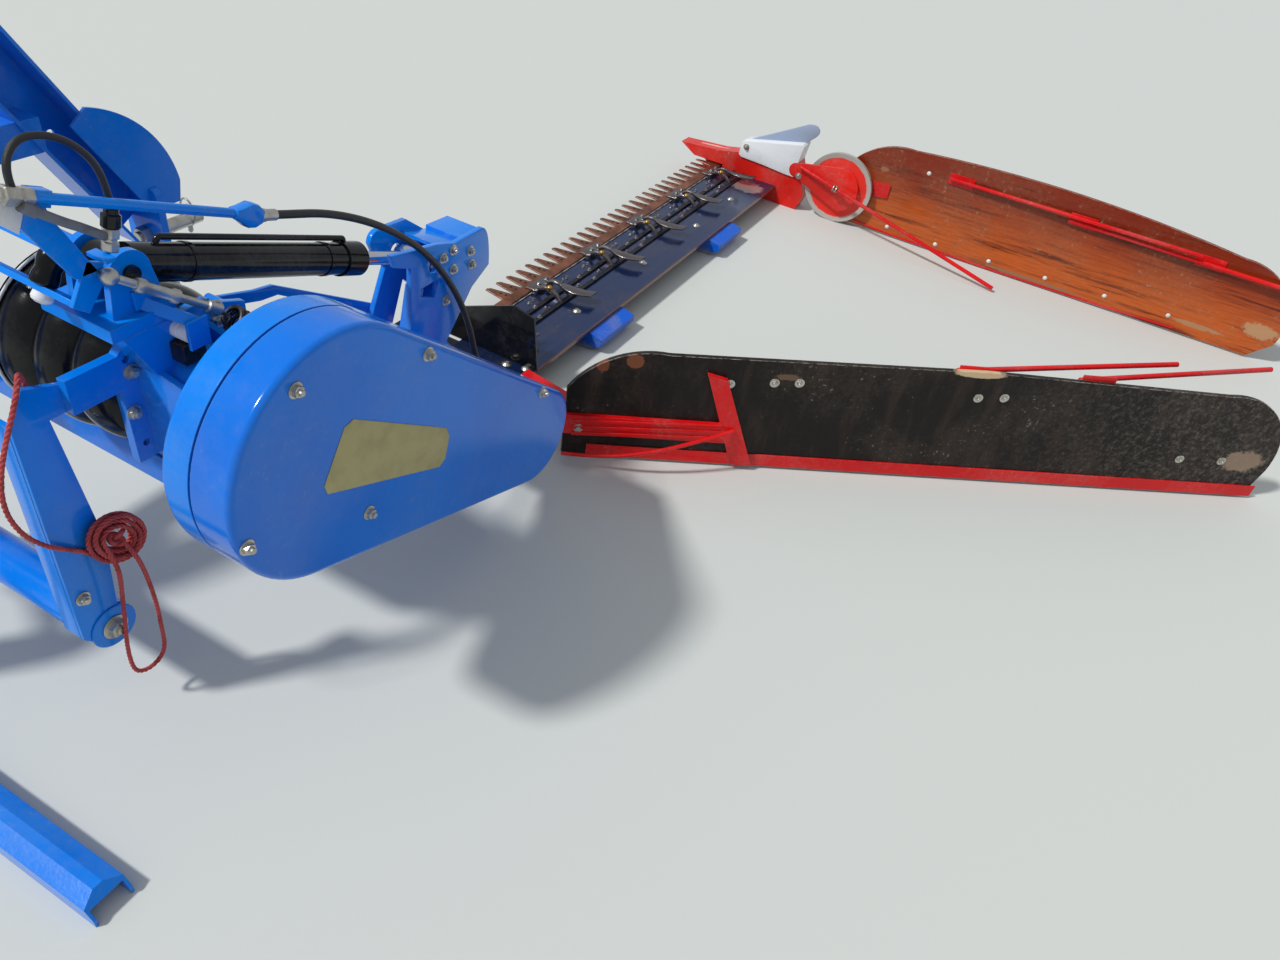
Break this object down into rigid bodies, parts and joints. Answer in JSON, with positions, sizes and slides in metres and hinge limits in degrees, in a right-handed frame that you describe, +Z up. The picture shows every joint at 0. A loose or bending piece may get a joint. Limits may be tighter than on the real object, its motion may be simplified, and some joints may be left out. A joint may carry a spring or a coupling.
{
  "type": "sickle bar mower",
  "caption": "Rear-mounted double-knife bar mower with a belt-driven side arm, lift cylinder, cutter bar, swath boards, outer shoe with wheel, and a parking stand",
  "frame": {"origin": "on the drive shaft's axis at its front end", "axes": "+X forward to the tractor, +Y to the machine's left, +Z up; the cutter bar reaches along -Y"},
  "size_m": [2.4441, 3.273, 1.1239],
  "materials": {
    "blue_paint": "glossy",
    "red_paint": "glossy",
    "dark_steel": "satin",
    "bright_steel": "satin",
    "zinc_steel": "satin",
    "chrome_rod": "polished",
    "black_paint": "glossy",
    "black_rubber": "matte",
    "film_plywood": "satin",
    "varnished_plywood": "glossy",
    "white_plastic": "glossy",
    "grey_plastic": "glossy"
  },
  "bodies": {
    "frame": {"head_frame": "blue_paint", "head_gussets": "blue_paint", "hitch_pins": "zinc_steel", "bearing_housing": "blue_paint", "lower_brace": "blue_paint", "top_brace": "blue_paint", "shaft_bellows": "black_rubber", "side_strut": "blue_paint", "side_tube": "blue_paint", "stand_socket": "blue_paint"},
    "stand": {"stand_leg": "blue_paint", "stand_foot": "blue_paint"},
    "shaft": {"drive_shaft": "bright_steel"},
    "arm": {"belt_cover": "blue_paint", "cover_seal": "black_rubber", "belt_case": "blue_paint", "lift_arm": "blue_paint"},
    "bar": {"bracket_rear_plate": "blue_paint", "bracket_front_plate": "blue_paint", "bracket_webs": "blue_paint", "bar_plate": "dark_steel", "bar_rails": "dark_steel", "knife_holders": "bright_steel", "bar_skids": "blue_paint", "inner_shoe": "dark_steel", "inner_divider": "black_paint", "outer_shoe": "red_paint", "shoe_cover": "white_plastic", "wheel_arm": "red_paint", "outer_board": "varnished_plywood", "outer_board_strap": "red_paint", "inner_board": "film_plywood", "inner_board_iron": "red_paint", "inner_board_carrier": "red_paint"},
    "upper_blade": {"upper_knife": "bright_steel"},
    "lower_blade": {"lower_knife": "bright_steel"},
    "wheel": {"outer_wheel": "red_paint"},
    "barrel": {"cylinder_barrel": "black_paint"},
    "rod": {"cylinder_rod": "chrome_rod"}
  },
  "joints": [
    {"name": "shaft_spin", "type": "hinge", "parent": "frame", "child": "shaft", "pos_m": [-0.2, 0, 0], "axis": [1, 0, 0], "continuous": true},
    {"name": "stand_slide", "type": "slide", "parent": "frame", "child": "stand", "axis": [0, 0, 1], "range_m": [0, 0.2]},
    {"name": "arm_lift", "type": "hinge", "parent": "frame", "child": "arm", "pos_m": [-0.376, 0, 0], "axis": [-1, 0, 0], "range_deg": [-5, 25]},
    {"name": "bar_fold", "type": "hinge", "parent": "arm", "child": "bar", "pos_m": [-0.2, -0.551, -0.306], "axis": [-1, 0, 0], "range_deg": [-2.51, 12.51]},
    {"name": "cylinder_swing", "type": "hinge", "parent": "frame", "child": "barrel", "pos_m": [-0.2, 0.06, 0.205], "axis": [-1, 0, 0], "range_deg": [-3.65, 18.2]},
    {"name": "rod_slide", "type": "slide", "parent": "barrel", "child": "rod", "axis": [0, -0.94, -0.3411], "range_m": [-0.1375, 0.0276]},
    {"name": "upper_stroke", "type": "slide", "parent": "bar", "child": "upper_blade", "axis": [0, 1, 0], "range_m": [-0.0127, 0.0127]},
    {"name": "lower_stroke", "type": "slide", "parent": "bar", "child": "lower_blade", "axis": [0, 1, 0], "range_m": [-0.0127, 0.0127]},
    {"name": "wheel_spin", "type": "hinge", "parent": "bar", "child": "wheel", "pos_m": [-0.472, -2.716, -0.44], "axis": [0, 1, 0], "continuous": true}
  ],
  "couplings": [
    {"joint": "bar_fold", "follows": "arm_lift", "ratio": 0.5},
    {"joint": "cylinder_swing", "follows": "arm_lift", "ratio": 0.7272},
    {"joint": "rod_slide", "follows": "arm_lift", "m_per_rad": -0.3143},
    {"joint": "lower_stroke", "follows": "upper_stroke", "ratio": -1}
  ]
}
